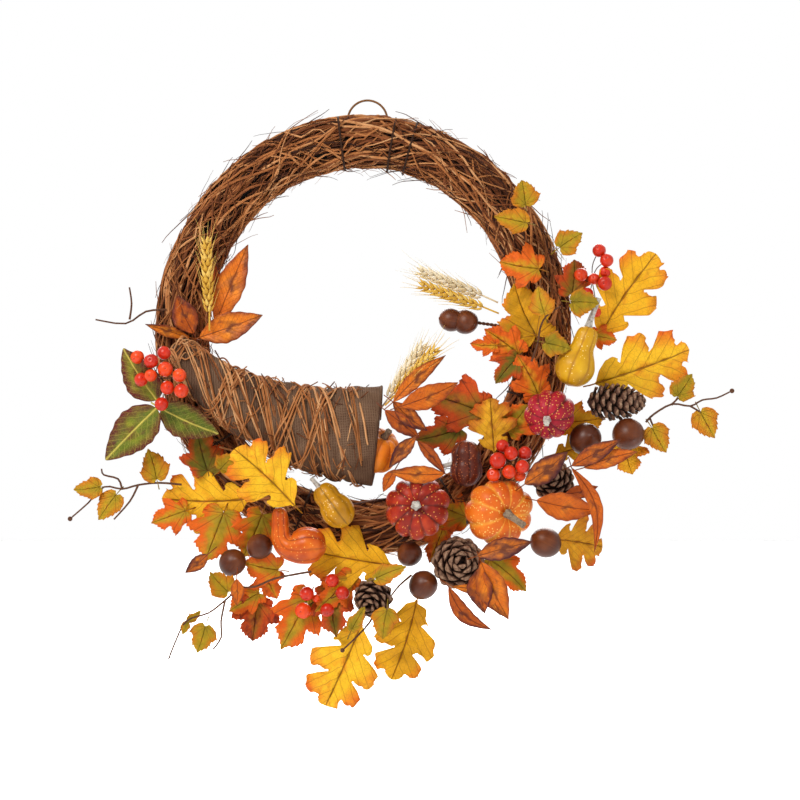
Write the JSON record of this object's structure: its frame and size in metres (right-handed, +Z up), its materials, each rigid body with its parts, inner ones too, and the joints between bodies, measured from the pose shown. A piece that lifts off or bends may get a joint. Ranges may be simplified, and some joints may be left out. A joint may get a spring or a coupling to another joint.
{
  "type": "harvest door wreath",
  "caption": "Vine ring wreath with a burlap cornucopia, small pumpkins, gourds, pinecones, nuts, berries, wheat and autumn leaves, hung by a hinged wire loop.",
  "frame": {"origin": "top of the inside of the hanger loop, where a hook touches it", "axes": "+Z up, +X right as seen from the front, +Y into the door"},
  "size_m": [0.66, 0.1267, 0.6095],
  "materials": {
    "grape_vine": "rough bark",
    "dark_wire": "matt paper wrap",
    "paper_wire": "matt paper wrap",
    "burlap": "coarse weave",
    "pumpkin_orange_skin": "satin, speckled",
    "pumpkin_red_skin": "satin, speckled",
    "pumpkin_crimson_skin": "satin, speckled",
    "brown_stem": "matt, grooved",
    "pale_stem": "satin, silvery",
    "gourd_yellow_skin": "satin",
    "gourd_amber_skin": "satin",
    "gourd_green_skin": "satin",
    "gourd_rust_skin": "satin, speckled",
    "pinecone_scale": "matt, pale scale tips",
    "nut_shell": "glossy",
    "berry_skin": "glossy",
    "wheat_straw": "dry straw",
    "oak_leaf_cloth": "printed polyester",
    "maple_leaf_cloth": "printed polyester",
    "lance_leaf_cloth": "printed polyester",
    "laurel_leaf_cloth": "printed polyester",
    "ivy_leaf_cloth": "printed polyester",
    "tendril_paper": "matt paper wrap"
  },
  "bodies": {
    "wreath": {"vine_ring": "grape_vine", "ring_binding_wires": "dark_wire", "hanger_eye": "dark_wire", "horn_mouth_band": "burlap", "horn_middle_band": "burlap", "horn_tail": "burlap", "horn_rim_wire": "grape_vine", "horn_vine_wrap": "grape_vine", "pumpkin_orange": "pumpkin_orange_skin", "pumpkin_red": "pumpkin_red_skin", "pumpkin_crimson": "pumpkin_crimson_skin", "pumpkin_horn": "pumpkin_orange_skin", "pumpkin_orange_stem": "brown_stem", "pumpkin_red_stem": "pale_stem", "pumpkin_crimson_stem": "pale_stem", "pumpkin_horn_stem": "brown_stem", "gourd_bottle": "gourd_yellow_skin", "gourd_crookneck": "gourd_amber_skin", "gourd_squat": "gourd_green_skin", "gourd_rust": "gourd_rust_skin", "gourd_stems": "pale_stem", "pinecone_front": "pinecone_scale", "pinecone_right": "pinecone_scale", "pinecone_long": "pinecone_scale", "pinecone_lower": "pinecone_scale", "nuts_twin": "nut_shell", "nuts_right": "nut_shell", "nut_corner": "nut_shell", "nuts_middle": "nut_shell", "nuts_left": "nut_shell", "berries_left": "berry_skin", "berries_top": "berry_skin", "berries_centre": "berry_skin", "berries_lower": "berry_skin", "wheat_left": "wheat_straw", "wheat_top": "wheat_straw", "wheat_mouth": "wheat_straw", "oak_leaves_right": "oak_leaf_cloth", "oak_leaves_centre": "oak_leaf_cloth", "oak_leaves_left": "oak_leaf_cloth", "oak_leaves_bottom": "oak_leaf_cloth", "maple_leaves_top": "maple_leaf_cloth", "maple_leaves_centre": "maple_leaf_cloth", "maple_leaves_right": "maple_leaf_cloth", "maple_leaves_left": "maple_leaf_cloth", "maple_leaves_bottom": "maple_leaf_cloth", "lance_leaves_left": "lance_leaf_cloth", "lance_leaves_mouth": "lance_leaf_cloth", "lance_leaves_right": "lance_leaf_cloth", "lance_leaves_bottom": "lance_leaf_cloth", "laurel_leaves": "laurel_leaf_cloth", "ivy_leaves_left": "ivy_leaf_cloth", "ivy_leaves_lower": "ivy_leaf_cloth", "ivy_leaves_right": "ivy_leaf_cloth", "ivy_leaves_top": "ivy_leaf_cloth", "tendrils_left": "tendril_paper", "tendrils_lower": "tendril_paper", "tendrils_right": "tendril_paper", "tendrils_top": "tendril_paper"},
    "hanger": {"hanger_loop": "paper_wire"}
  },
  "joints": [
    {"name": "hanger_fold", "type": "hinge", "parent": "wreath", "child": "hanger", "pos_m": [0, 0, -0.0224], "axis": [1, 0, 0], "range_deg": [-55, 55]}
  ]
}
